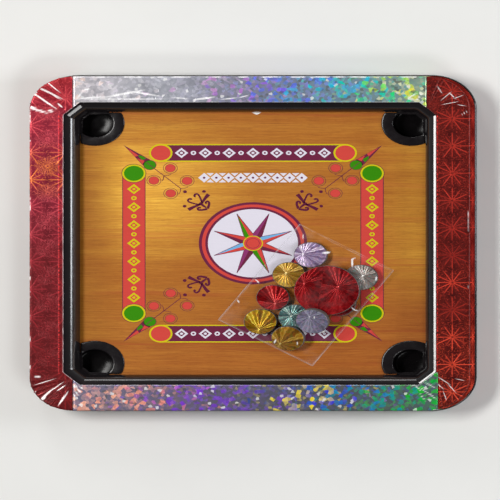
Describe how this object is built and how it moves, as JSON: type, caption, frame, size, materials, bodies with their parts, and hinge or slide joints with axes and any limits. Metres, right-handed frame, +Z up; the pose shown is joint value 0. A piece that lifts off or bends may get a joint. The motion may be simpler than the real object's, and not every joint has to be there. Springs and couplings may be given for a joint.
{
  "type": "carrom board",
  "caption": "Square tabletop disc-flicking board: moulded rim with foil strips, printed wood-grain field, corner pockets, and foil-faced discs and striker in a clear pouch.",
  "frame": {"origin": "centre of the underside, on the surface the board stands on", "axes": "+Z up out of the playing surface, +X towards the right side of the board, +Y towards its far side"},
  "size_m": [0.3048, 0.3048, 0.0296],
  "materials": {
    "black_plastic": "moulded, glossy",
    "red_foil": "metallised, embossed with starbursts",
    "silver_foil": "metallised, holographic broken-glass pattern",
    "gold_foil": "metallised, embossed with starbursts",
    "hardboard": "raw pressed board",
    "wood_print": "printed wood grain and game markings, lacquered",
    "screw_steel": "zinc plated",
    "disc_plastic": "moulded",
    "clear_film": "clear, wrinkled"
  },
  "bodies": {
    "board": {"frame": "black_plastic", "foil_red_left": "red_foil", "foil_red_right": "red_foil", "foil_silver_far": "silver_foil", "foil_silver_near": "silver_foil", "hardboard_panel": "hardboard", "printed_sheet": "wood_print", "pocket_far_left": "black_plastic", "pocket_far_right": "black_plastic", "pocket_near_left": "black_plastic", "pocket_near_right": "black_plastic", "panel_screw_1": "screw_steel", "panel_screw_2": "screw_steel", "panel_screw_3": "screw_steel", "panel_screw_4": "screw_steel", "panel_screw_5": "screw_steel", "panel_screw_6": "screw_steel", "panel_screw_7": "screw_steel", "panel_screw_8": "screw_steel"},
    "pouch": {"pouch": "clear_film"},
    "silver_disc_1": {"silver_disc_1": "disc_plastic", "silver_disc_1_face": "silver_foil", "silver_disc_1_back": "silver_foil"},
    "gold_disc_1": {"gold_disc_1": "disc_plastic", "gold_disc_1_face": "gold_foil", "gold_disc_1_back": "gold_foil"},
    "silver_disc_2": {"silver_disc_2": "disc_plastic", "silver_disc_2_face": "silver_foil", "silver_disc_2_back": "silver_foil"},
    "red_disc_1": {"red_disc_1": "disc_plastic", "red_disc_1_face": "red_foil", "red_disc_1_back": "red_foil"},
    "red_disc_2": {"red_disc_2": "disc_plastic", "red_disc_2_face": "red_foil", "red_disc_2_back": "red_foil"},
    "silver_disc_3": {"silver_disc_3": "disc_plastic", "silver_disc_3_face": "silver_foil", "silver_disc_3_back": "silver_foil"},
    "gold_disc_2": {"gold_disc_2": "disc_plastic", "gold_disc_2_face": "gold_foil", "gold_disc_2_back": "gold_foil"},
    "striker": {"striker": "disc_plastic", "striker_face": "red_foil", "striker_back": "red_foil"},
    "silver_disc_4": {"silver_disc_4": "disc_plastic", "silver_disc_4_face": "silver_foil", "silver_disc_4_back": "silver_foil"},
    "gold_disc_3": {"gold_disc_3": "disc_plastic", "gold_disc_3_face": "gold_foil", "gold_disc_3_back": "gold_foil"}
  },
  "joints": [
    {"name": "pouch_lift", "type": "slide", "parent": "board", "child": "pouch", "axis": [0, 0, 1], "range_m": [0, 0.12]},
    {"name": "silver_disc_1_slide", "type": "slide", "parent": "pouch", "child": "silver_disc_1", "axis": [0.5432, 0.8396, 0], "range_m": [0, 0.04]},
    {"name": "gold_disc_1_slide", "type": "slide", "parent": "pouch", "child": "gold_disc_1", "axis": [-0.8396, 0.5432, 0], "range_m": [0, 0.005]},
    {"name": "silver_disc_2_slide", "type": "slide", "parent": "pouch", "child": "silver_disc_2", "axis": [0.5432, 0.8396, 0], "range_m": [0, 0.04]},
    {"name": "red_disc_1_slide", "type": "slide", "parent": "pouch", "child": "red_disc_1", "axis": [-0.8396, 0.5432, 0], "range_m": [0, 0.007]},
    {"name": "red_disc_2_slide", "type": "slide", "parent": "pouch", "child": "red_disc_2", "axis": [0.5432, 0.8396, 0], "range_m": [0, 0.0045]},
    {"name": "silver_disc_3_slide", "type": "slide", "parent": "pouch", "child": "silver_disc_3", "axis": [0.7071, 0.7071, 0], "range_m": [0, 0.01]},
    {"name": "gold_disc_2_slide", "type": "slide", "parent": "pouch", "child": "gold_disc_2", "axis": [-0.9397, 0.342, 0], "range_m": [0, 0.007]},
    {"name": "striker_slide", "type": "slide", "parent": "pouch", "child": "striker", "axis": [0.5432, 0.8396, 0], "range_m": [0, 0.045]},
    {"name": "silver_disc_4_slide", "type": "slide", "parent": "pouch", "child": "silver_disc_4", "axis": [0.8396, -0.5432, 0], "range_m": [0, 0.006]},
    {"name": "gold_disc_3_slide", "type": "slide", "parent": "pouch", "child": "gold_disc_3", "axis": [0.8396, -0.5432, 0], "range_m": [0, 0.008]}
  ]
}
